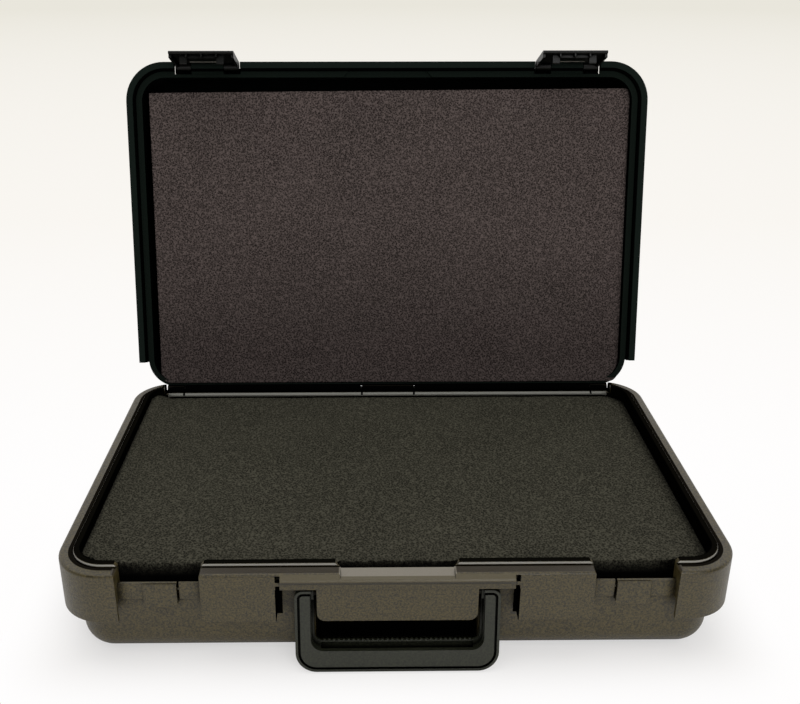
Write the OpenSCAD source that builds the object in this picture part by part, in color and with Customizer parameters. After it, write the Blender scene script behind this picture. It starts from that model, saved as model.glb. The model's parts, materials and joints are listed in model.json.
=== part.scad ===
// Moulded carry case with foam, two latches and a loop handle
// Millimetres. X is width, Y runs from the handle side to the hinge, Z is up.
// The origin is the middle of the base's underside.

/* [Case] */
// outer width of the rim
case_w = 420; // [300:1:600]
// outer depth of the rim
case_d = 274; // [200:1:400]
// corner radius of the rim, seen from above
corner_r = 31; // [29:1:50]
// height of the parting plane over the table
base_h = 68; // [64:1:120]
// height of the lid over the parting plane
lid_h = 40; // [34:1:80]
// wall thickness of both shells
wall = 2.6; // [2:0.1:4]
// angle the lid is shown open
lid_open = 101.8; // [0:0.1:101.8]

/* [Rim] */
// how far the pan wall stands in from the rim edge
pan_inset = 10.5; // [9:0.5:14]
// outer radius where the pan wall meets the floor
pan_fillet = 18; // [6:1:18]
// height of the skirt's lower edge
skirt_z = 34; // [20:1:45]
// thickness of the ledge and the skirt
skin = 2.5; // [2:0.1:3.5]
// radius of the ledge's outer edge
edge_r = 2; // [0.5:0.1:2.4]
// height of the sealing bead over the ledge
bead_h = 2.2; // [2:0.1:4]
// width of the sealing bead
bead_w = 4.1; // [3:0.1:5]
// width and depth of the fine groove beside the bead
groove = 0.9; // [0.5:0.1:1.2]
// half width of the finger notch in the middle of the rim
notch_half = 34; // [20:1:40]

/* [Lid] */
// width of the lid's outer rim band
lid_band = 4.9; // [4:0.1:6]
// inset where the rabbet reaches its full depth
rabbet_in = 6.7; // [6:0.1:8]
// depth of the rabbet that takes the bead
rabbet_d = 3.5; // [3.2:0.1:5]
// inset of the lid's inner wall face
lid_wall_in = 12; // [11:0.1:13]
// outer radius of the lid's top edge
lid_fillet = 14; // [5:1:18]
// how far the outer band stays away from the back edge
band_stop = 29; // [20:1:40]
// inset of the lid at the hinge side
hinge_step = 7.5; // [7:0.1:9]
// depth of the shallow panel in the lid's top
panel_d = 0.8; // [0.4:0.1:1.2]

/* [Latches] */
// distance of each latch's middle from the side edge of the rim
latch_in = 65.5; // [60:0.5:90]
// width of a latch
latch_w = 50; // [40:1:60]
// half width of the gap in base and lid rim for a latch
recess_half = 25.4; // [20.4:0.1:31]
// height of the latch pivot over the parting plane
latch_up = 6; // [5:0.1:8]
// length of a latch from pivot to tip
latch_len = 35; // [30:1:45]
// angle a latch leans out from its closed position
latch_lean = 8.5; // [0:0.5:95]
// radius of a latch pin
latch_pin_r = 1.5; // [1:0.1:1.8]
// width of the lid's lug between the latch ears
lug_w = 25.6; // [18:0.2:30]

/* [Handle] */
// outer half width of the handle
handle_half = 62.5; // [50:0.5:66]
// width of a handle leg
leg_w = 11.5; // [9:0.5:13]
// height of the handle pivot
pivot_z = 51.9; // [47:0.1:51.9]
// distance of the handle pivot behind the front edge
pivot_in = 4.5; // [4.5:0.1:5]
// angle the handle leans out on the table
handle_lean = 8; // [0:1:90]
// front to back depth of the handle
handle_t = 8; // [7:0.1:8.4]
// height of the grip's back wall
grip_h = 18; // [15:1:20]
// height of the grip's front band
grip_front = 14.3; // [10:0.1:15]
// radius of a handle pin
handle_pin_r = 1.6; // [1.2:0.1:1.8]
// gap between a handle leg and the boss
leg_gap = 2; // [1:0.1:4]
// how far the hood reaches past the handle on each side
hood_over = 8.5; // [6:0.5:10]
// how far the hood's bar stands out in front of the skirt
hood_out = 2.5; // [1.5:0.1:3]
// width of the slot beside the hood
side_slot = 2.8; // [1:0.1:3.5]
// height of a leg's flat top over the pivot
leg_top = 3; // [2:0.1:3]
// radius of a leg's outer shoulder
shoulder_r = 5; // [3.5:0.1:6]
// depth of the finger pocket behind the handle
pocket_d = 10; // [6:0.5:10]
// height of the hood's lower edge
hood_z = 57.7; // [57.7:0.1:59]

/* [Hinge] */
// distance of the hinge axis in front of the back edge
hinge_in = 7; // [6.5:0.1:8]
// distance of the hinge axis under the parting plane
hinge_down = 2.25; // [2:0.05:2.5]
// radius of the knuckles
knuckle_r = 3.2; // [3:0.1:3.3]
// radius of the hinge rods
rod_r = 1.5; // [1:0.1:1.7]
// half width of the middle knuckle
mid_knuckle = 22; // [15:1:30]
// distance of the outer knuckles' start from the side edge of the rim
end_in = 38; // [36:1:80]
// length of an outer knuckle
end_len = 14; // [10:1:14]
// gap between neighbouring knuckles
knuckle_gap = 1; // [0.5:0.1:2]

/* [Foam] */
// height of the base foam's top
foam_z = 60; // [40:1:64]
// distance of the base foam from the front edge of the rim
foam_front = 25; // [20:1:60]
// how far the lid foam stays behind the rim plane
lid_foam_in = 7; // [4:0.5:20]
// distance of the lid foam from the front edge of the rim
lid_foam_front = 21.2; // [15:0.1:40]
// distance of the lid foam from the left edge of the rim
lid_foam_side = 15.7; // [13:0.1:30]

/* [Fits] */
// radial clearance of the turning fits
run_fit = 0.05; // [0.01:0.01:0.1]
// clearance between the shut rims
rim_gap = 0.2; // [0.1:0.1:0.5]
// clearance between foam and shell
foam_gap = 0.35; // [0.3:0.05:1]
// gap between a latch and the lid's rim beside it
latch_gap = 1.4; // [0.5:0.1:3]

/* [Hidden] */
$fn = 48;
eps = 0.01;
floor_run = 1.6;
front_y = -case_d / 2;
back_y = case_d / 2;
hinge_y = back_y - hinge_in;
hinge_z = base_h - hinge_down;
pan_front = front_y + pan_inset;
pan_back = back_y - pan_inset;
bead_in = pan_inset + wall - bead_w;
recess_wall_z = base_h - 18;
strip_z = base_h - 6;
lip_z = strip_z + 1.6;
band_z = base_h - 22;
band_y = front_y + 7;
block_y = front_y + 5.5;
block_half = 10.25;
slot_w = 1.3;
band_top = base_h - 10.5;
band_skin = 1.8;
pocket_floor = 12.6;
pocket_top = skirt_z + 2;
latch_x = case_w / 2 - latch_in;
latch_y = front_y + 3;
latch_z = base_h + latch_up;
latch_skin = 2.4;
hook_z = latch_z - band_z + 0.4;
handle_y = front_y + pivot_in;
handle_len = pivot_z / cos(handle_lean) - (handle_t - pivot_in) * tan(handle_lean) + 0.02;
lid_out = lid_wall_in - wall;
lid_ledge = rabbet_d + skin;
boss_half = handle_half - leg_w - leg_gap;
hood_half = handle_half + hood_over;
side_x = hood_half + side_slot;
end_knuckle = case_w / 2 - end_in;
back_half = end_knuckle + end_len + 2;

// a box from one corner to the opposite corner
module box(a, b) {
    translate(a)
        cube([b[0] - a[0], b[1] - a[1], b[2] - a[2]]);
}

// a cylinder along X from xa to xb
module bar(xa, xb, y, z, r) {
    translate([xa, y, z])
        rotate([0, 90, 0])
            cylinder(h = xb - xa, r = r);
}

// both sides of the case
module both() {
    children();
    mirror([1, 0, 0])
        children();
}

// one straight side of a swept rim, its outer edge at x = half
module rim_side(half, run) {
    translate([half, 0, 0])
        rotate([90, 0, 0])
            linear_extrude(height = run, center = true)
                children();
}

// a rim section, drawn with x as minus the inset and y as the height, round the case
module rim_sweep() {
    for (s = [0, 1]) {
        rotate([0, 0, 180 * s])
            rim_side(case_w / 2, case_d - 2 * corner_r)
                children();
        rotate([0, 0, 90 + 180 * s])
            rim_side(case_d / 2, case_w - 2 * corner_r)
                children();
    }
    for (q = [0:3])
        translate([(q == 0 || q == 3 ? 1 : -1) * (case_w / 2 - corner_r),
            (q < 2 ? 1 : -1) * (case_d / 2 - corner_r), 0])
            rotate([0, 0, 90 * q])
                rotate_extrude(angle = 90)
                    translate([corner_r, 0])
                        children();
}

// a rounded rectangle that stands in from the rim edge
module plan(inset) {
    r = max(corner_r - inset, 0.5);
    w = case_w - 2 * inset;
    d = case_d - 2 * inset;
    square([w - 2 * r, d], center = true);
    square([w, d - 2 * r], center = true);
    for (x = [-1, 1], y = [-1, 1])
        translate([x * (w / 2 - r), y * (d / 2 - r)])
            circle(r = r);
}

// a plate in the plan shape
module plate(inset, z0, z1) {
    translate([0, 0, z0])
        linear_extrude(height = z1 - z0)
            plan(inset);
}

// a wall that turns into a floor, from the floor's start up to the height top
module wall_section(inset, fillet, t, top) {
    translate([-inset - t, fillet])
        square([t, top - fillet]);
    translate([-inset - fillet - floor_run, 0])
        square([floor_run, t]);
    translate([-inset - fillet, fillet])
        intersection() {
            difference() {
                circle(r = fillet);
                circle(r = fillet - t);
            }
            translate([0, -fillet])
                square(fillet);
        }
}

// the base's rim section: pan wall, bead, ledge with a round edge, skirt
module base_section() {
    difference() {
        union() {
            wall_section(pan_inset, pan_fillet, wall, base_h + bead_h - 1);
            translate([-bead_in - bead_w, base_h - skin])
                square([bead_w, skin + bead_h - 1]);
            translate([-bead_in - bead_w, base_h + bead_h - 1 - eps])
                square([bead_w - 1, 1 + eps]);
            translate([-bead_in - 1, base_h + bead_h - 1])
                circle(r = 1);
            translate([-bead_in - 1, base_h - skin])
                square([bead_in + 1 - edge_r, skin]);
            translate([-skin, skirt_z])
                square([skin, base_h - edge_r - skirt_z]);
            translate([-edge_r, base_h - edge_r])
                circle(r = edge_r);
        }
        translate([-bead_in, base_h - groove])
            square([groove, 2 * groove]);
    }
}

// the lid's rim section in a frame with the parting plane at height 0
module lid_section() {
    translate([0, lid_h])
        mirror([0, 1])
            wall_section(lid_out, lid_fillet, wall, lid_h - rabbet_d);
    difference() {
        translate([-lid_wall_in, rim_gap])
            square([lid_wall_in, lid_ledge - rim_gap]);
        translate([-lid_wall_in - 1, 0])
            square([lid_wall_in + 1 - rabbet_in, rabbet_d]);
        translate([-rabbet_in - 1, 0])
            square([rabbet_in + 1 - lid_band, 1.6]);
    }
}

// what is cut away for one latch in the base, on the right
module recess_cut() {
    x0 = latch_x - recess_half;
    x1 = latch_x + recess_half;
    box([x0, front_y - 1, skirt_z - 1], [x1, pan_front, base_h + bead_h + 1]);
    box([x0, pan_front - 1, recess_wall_z], [x1, pan_front + 5, base_h + bead_h + 1]);
    bead_ramp(x0, -1);
    bead_ramp(x1, 1);
    // bright chamfers where the ledge ends
    for (x = [x0, x1])
        translate([x, front_y, base_h])
            rotate([0, 45, 0])
                cube([1.6, 2 * (pan_inset - 1), 1.6], center = true);
}

// wedge that gives the bead a sloping end at x, rising towards s
module bead_ramp(x, s) {
    translate([0, front_y + 7, 0])
        rotate([90, 0, 0])
            translate([0, 0, -10])
                linear_extrude(height = 10)
                    polygon([[x, base_h], [x - s, base_h], [x - s, base_h + 5],
                        [x + 5 * s, base_h + 5]]);
}

// catch band, catch block and end webs of one recess, on the right
module catch() {
    x0 = latch_x - recess_half;
    x1 = latch_x + recess_half;
    foot = band_z + 3;
    difference() {
        union() {
            box([x0, band_y, band_z], [x1, band_y + band_skin, band_top]);
            box([x0, band_y, band_z], [x1, pan_front + eps, foot]);
            box([latch_x - block_half, block_y, band_z - 3],
                [latch_x + block_half, band_y + band_skin, band_top - 0.4]);
            box([latch_x - block_half, block_y, band_z - 3],
                [latch_x + block_half, pan_front + eps, foot]);
            box([latch_x - block_half + 2, block_y, band_z - 5],
                [latch_x + block_half - 2, pan_front + eps, band_z - 3 + eps]);
            for (s = [-1, 1])
                translate([latch_x + s * (block_half - 2), block_y, band_z - 3])
                    rotate([-90, 0, 0])
                        cylinder(h = pan_front - block_y, r = 2);
        }
        // fine slot beside the block
        box([latch_x - block_half - slot_w, block_y - 1, band_z - 6],
            [latch_x - block_half, pan_front - 0.8, base_h]);
    }
    box([x0 - skin, front_y + skin - eps, band_z], [x0, pan_front + eps, base_h - skin / 2]);
    box([x1, front_y + skin - eps, band_z], [x1 + skin, pan_front + eps, base_h - skin / 2]);
}

// hollow behind the handle that makes room for the fingers
module pocket_liner() {
    x = boss_half + leg_gap - 0.4 + wall;
    y0 = pan_front + 2.1;
    y1 = pan_front + pocket_d + wall;
    box([-x, y0, pocket_floor - wall], [x, y1, pocket_floor]);
    box([-x, y0, pocket_top], [x, y1, pocket_top + wall]);
    box([-x, y1 - wall, pocket_floor - wall], [x, y1, pocket_top + wall]);
    for (s = [-1, 1])
        box([s * (x - wall / 2) - wall / 2, y0, pocket_floor - wall],
            [s * (x - wall / 2) + wall / 2, y1, pocket_top + wall]);
}

module pocket_hollow() {
    x = boss_half + leg_gap - 0.4;
    box([-x, pan_front - 1, pocket_floor], [x, pan_front + pocket_d, pocket_top]);
}

// side walls of the handle pocket, with the boss and the pin sleeve, on the right
module boss_half_part() {
    box([boss_half - 3, front_y + 1, skirt_z], [boss_half, pan_front + eps, base_h - 1]);
    bar(boss_half - 12, boss_half, handle_y, pivot_z, handle_pin_r + 2.2);
    box([side_x, front_y + 1, skirt_z], [side_x + skin, pan_front + eps, base_h - 1]);
}

// cuts of the handle pocket and of the slot beside it, on the right
module pocket_cut() {
    box([boss_half, front_y - 1, skirt_z - 1], [side_x, front_y + skin + 1, hood_z]);
    box([hood_half, front_y - 1, hood_z - 1], [side_x, front_y + skin, hood_z + 2]);
    box([hood_half - 0.3, front_y - hood_out - 1, base_h - 5.8],
        [side_x, front_y + skin + 0.6, base_h - 1.2]);
}

// hood over the handle: a sloping bar with a round nose, and a lip below it
module hood() {
    y = front_y - hood_out;
    translate([-hood_half, 0, 0])
        rotate([90, 0, 90])
            linear_extrude(height = 2 * hood_half)
                polygon([[front_y + skin, base_h - 0.5], [front_y + 0.7, base_h - 0.5],
                    [y + 0.6, base_h - 2.6], [y, base_h - 3.4], [y, base_h - 4.8],
                    [y + 0.5, base_h - 5.4], [front_y - 1, base_h - 5.8], [front_y - 1, hood_z],
                    [front_y + skin, hood_z]]);
}

// lower corners of the boss, on the right
module boss_corner() {
    translate([boss_half - 5, front_y - 2, skirt_z + 5])
        rotate([-90, 0, 0])
            difference() {
                translate([0, 0, 0])
                    cube([6, 6, skin + 4]);
                translate([0, 0, -1])
                    cylinder(h = skin + 6, r = 5);
            }
}

// finger notch: a sloping lit face on the ledge and a deep cut behind it
module notch_cut() {
    translate([0, front_y, base_h - 7])
        linear_extrude(height = 20)
            polygon([[-notch_half, 7], [notch_half, 7], [notch_half + 4, pan_inset + wall + 1],
                [-notch_half - 4, pan_inset + wall + 1]]);
    translate([-notch_half - 0.6, front_y + 7, base_h])
        rotate([16, 0, 0])
            box([0, -9, 0], [2 * notch_half + 1.2, 0, 5]);
    bead_ramp(notch_half + 2, 1);
    bead_ramp(-notch_half - 2, -1);
}

// knuckles of the base and the low back wall
module back_cut() {
    box([-back_half, pan_back - 8, lip_z], [back_half, back_y + 1, base_h + bead_h + 1]);
    box([-back_half, pan_back, strip_z], [back_half, back_y + 1, lip_z + 1]);
    box([-back_half - 8, back_y - 3.5, strip_z],
        [back_half + 8, back_y + 1, base_h + bead_h + 1]);
    // bright chamfer along the low back wall
    translate([0, pan_back - wall, lip_z])
        rotate([45, 0, 0])
            cube([2 * back_half, 2.1, 2.1], center = true);
    for (x = [mid_knuckle, end_knuckle], s = [-1, 1])
        box([s * x - 0.8, pan_back - 8, lip_z - 2], [s * x + 0.8, hinge_y - 4, lip_z + 1]);
}

// low ledge between pan wall and skirt at the back
module back_ledge() {
    difference() {
        intersection() {
            plate(0.4, strip_z - skin, strip_z);
            box([-back_half - 12, pan_back - 6, strip_z - skin],
                [back_half + 12, back_y, strip_z]);
        }
        plate(pan_inset + wall, strip_z - skin - 1, strip_z + 1);
    }
}

module base_knuckle(xa, xb) {
    bar(xa, xb, hinge_y, hinge_z, knuckle_r);
    box([xa, hinge_y - knuckle_r, strip_z - 1], [xb, hinge_y + knuckle_r, hinge_z]);
}

module base_shell() {
    color("#3a3a33")
        difference() {
            union() {
                difference() {
                    union() {
                        rim_sweep()
                            base_section();
                        plate(pan_inset + pan_fillet + floor_run / 2, 0, wall);
                        back_ledge();
                        hood();
                        both()
                            boss_half_part();
                        pocket_liner();
                    }
                    both()
                        recess_cut();
                    both()
                        pocket_cut();
                    both()
                        boss_corner();
                    notch_cut();
                    back_cut();
                    pocket_hollow();
                }
                both()
                    catch();
                base_knuckle(-mid_knuckle, mid_knuckle);
                both()
                    base_knuckle(end_knuckle, end_knuckle + end_len);
                // stops that the open lid leans on
                for (k = [-0.85, -0.35, 0.35, 0.85])
                    box([k * end_knuckle - 3, back_y - 2.2, strip_z - 1],
                        [k * end_knuckle + 3, back_y, strip_z + 2.4]);
            }
            bar(-case_w / 2, case_w / 2, hinge_y, hinge_z, rod_r + run_fit);
            both()
                bar(boss_half - 14, boss_half + 1, handle_y, pivot_z, handle_pin_r + run_fit);
        }
}

// closed frame of the lid turned to the shown angle
module lid_pose() {
    translate([0, hinge_y, hinge_z])
        rotate([-lid_open, 0, 0])
            translate([0, -hinge_y, -hinge_z])
                children();
}

// what is cut away for one latch in the lid, on the right
module lid_recess_cut() {
    x = latch_w / 2 + latch_gap;
    box([latch_x - x, front_y - 1, base_h - 1],
        [latch_x + x, front_y + lid_out, base_h + lid_ledge + 1]);
}

// shelf over the root of one latch, on the right
module lid_shelf() {
    x = latch_w / 2 + latch_gap + 0.5;
    box([latch_x - x, front_y + 4.4, latch_z + 4.2],
        [latch_x + x, front_y + lid_out + 1, latch_z + 6.4]);
    box([latch_x - latch_w / 2 + 0.5, front_y + 1.4, latch_z + 4.2],
        [latch_x + x, front_y + lid_out + 1, latch_z + 6.4]);
}

// lug that carries one latch pin, on the right
module lid_lug() {
    x0 = latch_x - lug_w / 2;
    x1 = latch_x + lug_w / 2;
    bar(x0, x1, latch_y, latch_z, 3.4);
    box([x0, latch_y, latch_z - 2.4], [x1, front_y + lid_out + 1, latch_z + 3]);
}

module lid_knuckle() {
    x0 = mid_knuckle + knuckle_gap;
    x1 = end_knuckle - knuckle_gap;
    bar(x0, x1, hinge_y, hinge_z, knuckle_r);
    box([x0, back_y - hinge_step - wall, hinge_z], [x1, back_y - hinge_step,
        base_h + lid_ledge]);
}

module lid_shell() {
    color("#20221e")
        lid_pose()
            difference() {
                union() {
                    difference() {
                        union() {
                            translate([0, 0, base_h])
                                rim_sweep()
                                    lid_section();
                            plate(lid_out + lid_fillet + floor_run / 2, base_h + lid_h - wall,
                                base_h + lid_h);
                        }
                        both()
                            lid_recess_cut();
                        // no outer band at the hinge side
                        difference() {
                            box([-case_w, back_y - band_stop, base_h - 1],
                                [case_w, back_y + 1, base_h + lid_ledge + 1]);
                            plate(hinge_step, base_h - 2, base_h + lid_ledge + 2);
                        }
                        // finger notch in the rabbet floor
                        translate([0, front_y, base_h - 1])
                            linear_extrude(height = 2.6 + rabbet_d)
                                polygon([[-30, 5.6], [30, 5.6], [37, lid_wall_in + 1],
                                    [-37, lid_wall_in + 1]]);
                        plate(34, base_h + lid_h - panel_d, base_h + lid_h + 1);
                    }
                    both()
                        lid_lug();
                    both()
                        lid_shelf();
                    both()
                        lid_knuckle();
                }
                bar(-case_w / 2, case_w / 2, hinge_y, hinge_z, rod_r + run_fit);
                for (s = [-1, 1])
                    bar(s * latch_x - 20, s * latch_x + 20, latch_y, latch_z,
                        latch_pin_r + run_fit);
            }
}

// closed frame of a latch turned to the shown angle, with its pin on X
module latch_pose(s) {
    lid_pose()
        translate([s * latch_x, latch_y, latch_z])
            rotate([-latch_lean, 0, 0])
                children();
}

// one latch, its pivot at the origin, hanging down
module latch_body() {
    h = latch_w / 2;
    face = -3.6;
    difference() {
        union() {
            box([-h, face, -latch_len + 1.2], [h, face + latch_skin, 0]);
            bar(-h, h, face + 1.2, -latch_len + 1.2, 1.2);
            bar(-h, h, 0, 0, 3.6);
            // side flanges
            for (s = [-1, 1])
                box([s * (h - 1) - 1, face + 1, -latch_len + 2], [s * (h - 1) + 1, 1.5, 0]);
            // thin ribs from the tip to the hook bar
            for (x = [-11.5, 0, 11.5])
                box([x - 0.6, face + 1, -latch_len + 1], [x + 0.6, 1, -hook_z + eps]);
            // hook bar, low where it passes the catch block, with a tooth on each side
            box([-17, face + 1, -hook_z - 2.4], [17, 1.2, -hook_z]);
            for (s = [-1, 1]) {
                box([s * 14.2 - 2.8, face + 1, -hook_z - 2.4], [s * 14.2 + 2.8, 4.6, -hook_z]);
                bar(s * 14.2 - 2.8, s * 14.2 + 2.8, 4.6, -hook_z - 1.2, 1.2);
            }
        }
        // room for the lid's lug
        bar(-lug_w / 2 - 0.5, lug_w / 2 + 0.5, 0, 0, 4.6);
        bar(-h - 1, h + 1, 0, 0, latch_pin_r + run_fit);
    }
}

module latch_left() {
    color("#26271f")
        latch_pose(-1)
            latch_body();
}

module latch_right() {
    color("#26271f")
        latch_pose(1)
            latch_body();
}

module latch_pin_left() {
    color("#9a9a98")
        latch_pose(-1)
            bar(-latch_w / 2 + 0.6, latch_w / 2 - 0.6, 0, 0, latch_pin_r);
}

module latch_pin_right() {
    color("#9a9a98")
        latch_pose(1)
            bar(-latch_w / 2 + 0.6, latch_w / 2 - 0.6, 0, 0, latch_pin_r);
}

// front view of a loop: outer edge moved in by a, legs and grip reach in to leg and grip
module loop(a, leg, grip, r_in) {
    difference() {
        loop_fill(a);
        loop_area(handle_half - leg, -handle_len + grip, r_in, 20, 1);
    }
}

// the loop's outline moved in by a, with its opening filled
module loop_fill(a) {
    loop_area(handle_half - a, -handle_len + a, 13 - a, leg_top - a, shoulder_r - a);
}

// area from z up to top with round lower corners r and round upper corners rt
module loop_area(w, z, r, top, rt) {
    translate([-w, z + r])
        square([2 * w, top - rt - z - r]);
    translate([-w + r, z])
        square([2 * (w - r), r + eps]);
    translate([-w + rt, top - rt - eps])
        square([2 * (w - rt), rt + eps]);
    for (s = [-1, 1]) {
        translate([s * (w - r), z + r])
            circle(r = r);
        translate([s * (w - rt), top - rt])
            circle(r = rt);
    }
}

// raised lip along the outer edge of the handle's front
module handle_lip(y0, y1) {
    translate([0, y1, 0])
        rotate([90, 0, 0])
            linear_extrude(height = y1 - y0)
                difference() {
                    loop(0, leg_w - 1.5, grip_front, 7.5);
                    loop_fill(1.6);
                }
}

// a loop with depth from y0 to y1
module loop_part(a, leg, grip, r_in, y0, y1) {
    translate([0, y1, 0])
        rotate([90, 0, 0])
            linear_extrude(height = y1 - y0)
                loop(a, leg, grip, r_in);
}

// handle with its pivot axis on X
module handle_body() {
    f = -pivot_in;
    b = handle_t - pivot_in;
    inner = handle_half - leg_w;
    mid = handle_half - leg_w / 2;
    ribs = floor((inner - 6) / 3);
    difference() {
        union() {
            // back plate, body, outer lip and front band
            loop_part(0, leg_w, grip_h, 5, b - 2, b);
            loop_part(0, leg_w - 1.5, grip_front, 7.5, f + 2.4, b - 2 + eps);
            handle_lip(f, f + 2.5);
            loop_part(3.2, leg_w - 2.1, grip_front, 8, f, f + 2.5);
            // fine ribs on the upper edge of the back plate
            for (i = [-ribs:ribs])
                box([i * 3 - 0.7, b - 1.9, -handle_len + grip_h - 1],
                    [i * 3 + 0.7, b - 0.2, -handle_len + grip_h + 0.7]);
            for (s = [-1, 1])
                difference() {
                    bar(s * mid - leg_w / 2, s * mid + leg_w / 2, (f + b) / 2, 0, handle_t / 2);
                    box([s * mid - leg_w, f - 1, -5], [s * mid + leg_w, f + 2.4, 5]);
                }
        }
        // channel behind the front band of the grip, undercut below the back wall's edge
        box([-inner + 4, f + 3.4, -handle_len + 4], [inner - 4, b - 2, -handle_len + grip_h]);
        box([-inner + 4, f + 4, -handle_len + 4], [inner - 4, b - 1, -handle_len + grip_h - 1]);
        // round outer shoulders
        for (s = [-1, 1])
            difference() {
                box([s * (handle_half - 2) - 3, f - 1, -1], [s * (handle_half - 2) + 3, b + 1, 6]);
                translate([s * (handle_half - 5), 0, -1])
                    rotate([90, 0, 0])
                        cylinder(h = 3 * handle_t, r = 5, center = true);
            }
        // blind bores from the inside
        for (s = [-1, 1])
            bar(s * mid - leg_w / 2 + (s > 0 ? -1 : 1.5), s * mid + leg_w / 2 + (s > 0 ? -1.5 : 1),
                0, 0, handle_pin_r + run_fit);
    }
}

// the handle's frame turned to the shown angle
module handle_pose() {
    translate([0, handle_y, pivot_z])
        rotate([-handle_lean, 0, 0])
            children();
}

module handle() {
    color("#34362e")
        handle_pose()
            handle_body();
}

// pin from the leg's blind bore into the boss, on the right
module handle_pin() {
    bar(boss_half - 11, handle_half - 2, handle_y, pivot_z, handle_pin_r);
}

module handle_pin_left() {
    color("#8d8d8a")
        mirror([1, 0, 0])
            handle_pin();
}

module handle_pin_right() {
    color("#8d8d8a")
        handle_pin();
}

module hinge_rod_left() {
    color("#a0a09e")
        bar(-end_knuckle - end_len + 1, -1, hinge_y, hinge_z, rod_r);
}

module hinge_rod_right() {
    color("#a0a09e")
        bar(1, end_knuckle + end_len - 1, hinge_y, hinge_z, rod_r);
}

// solid block that fills a pan from its floor to the height top
module fill(inset, fillet, z0, top) {
    translate([0, 0, z0])
        rim_sweep()
            wall_section(inset, fillet, fillet - 0.5, top - z0);
    plate(inset + fillet - 0.6, z0, top);
}

module base_foam() {
    color("#2b2c2a")
        difference() {
            fill(pan_inset + wall + foam_gap, pan_fillet - wall - foam_gap, wall + foam_gap,
                foam_z);
            box([-case_w, front_y - 1, -1], [case_w, front_y + foam_front, base_h]);
        }
}

module lid_foam() {
    color("#4a4446")
        lid_pose()
            intersection() {
                translate([0, 0, base_h + lid_h])
                    mirror([0, 0, 1])
                        fill(lid_wall_in + foam_gap, lid_fillet - wall - foam_gap,
                            wall + foam_gap, lid_h - lid_foam_in);
                box([-case_w / 2 + lid_foam_side, front_y + lid_foam_front, base_h],
                    [case_w / 2, back_y, base_h + lid_h]);
            }
}

base_shell();
lid_shell();
latch_left();
latch_right();
latch_pin_left();
latch_pin_right();
handle();
handle_pin_left();
handle_pin_right();
hinge_rod_left();
hinge_rod_right();
base_foam();
lid_foam();
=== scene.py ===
# %% [markdown]
# # A moulded carry case with foam
#
# The case is two thin plastic mouldings with a block of foam in each. The CAD model brings
# the mouldings, the latches, the handle and the pins at their true size. This script
# dresses them: it sets up the table and the light, makes the plastic and the steel, and
# replaces the two plain foam blocks with foam that has pores, soft edges and a torn front.
# Blender counts in metres. Names that end in MM, and the tables that say so, hold
# millimetres, the unit in which such a case is measured.

import json
import math

import bmesh
import bpy
import numpy as np
from mathutils import Matrix, Vector, noise


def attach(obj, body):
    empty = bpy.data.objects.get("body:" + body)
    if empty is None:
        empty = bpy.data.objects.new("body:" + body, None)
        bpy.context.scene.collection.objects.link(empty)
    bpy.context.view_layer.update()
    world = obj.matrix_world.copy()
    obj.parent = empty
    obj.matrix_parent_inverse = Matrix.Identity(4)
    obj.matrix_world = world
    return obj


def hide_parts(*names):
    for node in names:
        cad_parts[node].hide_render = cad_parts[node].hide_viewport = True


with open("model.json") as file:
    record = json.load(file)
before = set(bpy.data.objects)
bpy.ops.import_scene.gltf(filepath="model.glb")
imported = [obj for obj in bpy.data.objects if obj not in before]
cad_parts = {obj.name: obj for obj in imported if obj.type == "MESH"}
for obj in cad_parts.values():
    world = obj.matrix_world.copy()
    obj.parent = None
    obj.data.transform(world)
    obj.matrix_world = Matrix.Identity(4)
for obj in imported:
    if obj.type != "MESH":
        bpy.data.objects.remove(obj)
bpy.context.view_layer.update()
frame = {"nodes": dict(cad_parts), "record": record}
MM = 0.001
nodes = frame["nodes"]
CASE_HALF = [max(v.co[axis] for v in nodes["base_shell"].data.vertices) for axis in (0, 1)]
print("pieces in the frame:", sorted(nodes))
print("half width and depth of the case:", [round(half, 4) for half in CASE_HALF])

# %% [markdown]
# ## Camera
#
# The photograph was taken from the front, about 23 degrees above the table, with the
# camera a little to the left of the middle. The place and the lens below were worked out
# from the corners of the case at its real width. The small sideways shift is a crop.

# %% Camera
CAMERA_PLACE = Vector((-18.9, -620.9, 418.5)) * MM
CAMERA_DOWN = math.radians(23.07)
CAMERA_TURN = math.radians(-0.65)
LENS_MM = 43.9
SENSOR_MM = 36
CROP_SHIFT = 0.0306
NEAREST_SEEN = 0.02

camera = bpy.data.objects.new("camera", bpy.data.cameras.new("camera"))
bpy.context.scene.collection.objects.link(camera)
bpy.context.scene.camera = camera
camera.location = CAMERA_PLACE
camera.rotation_euler = (math.pi / 2 - CAMERA_DOWN, 0, CAMERA_TURN)
camera.data.lens = LENS_MM
camera.data.sensor_width = SENSOR_MM
camera.data.shift_x = CROP_SHIFT
camera.data.clip_start = NEAREST_SEEN
bpy.context.scene.view_settings.view_transform = "Standard"
print("camera at", tuple(round(v, 3) for v in camera.location))


# %% [markdown]
# ## Colours and nodes
#
# Colours are read off as sRGB hex values, and Blender mixes light in linear values, so one
# function turns the first into the second. One small function adds a node, sets it and
# links it, which keeps each material short enough to read as a recipe.

# %% Colour and node helpers
def linear(hex_code):
    """An sRGB hex colour as linear red, green, blue and alpha."""
    parts = [int(hex_code[i:i + 2], 16) / 255 for i in (1, 3, 5)]
    return [p / 12.92 if p <= 0.04045 else ((p + 0.055) / 1.055) ** 2.4 for p in parts] + [1.0]


def add(tree, kind, inputs=None, **settings):
    """Adds one node. An input is a value, or a socket of another node to link."""
    made = tree.nodes.new(kind)
    for name, value in settings.items():
        setattr(made, name, value)
    for name, value in (inputs or {}).items():
        if isinstance(value, bpy.types.NodeSocket):
            tree.links.new(value, made.inputs[name])
        else:
            made.inputs[name].default_value = value
    return made


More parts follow.
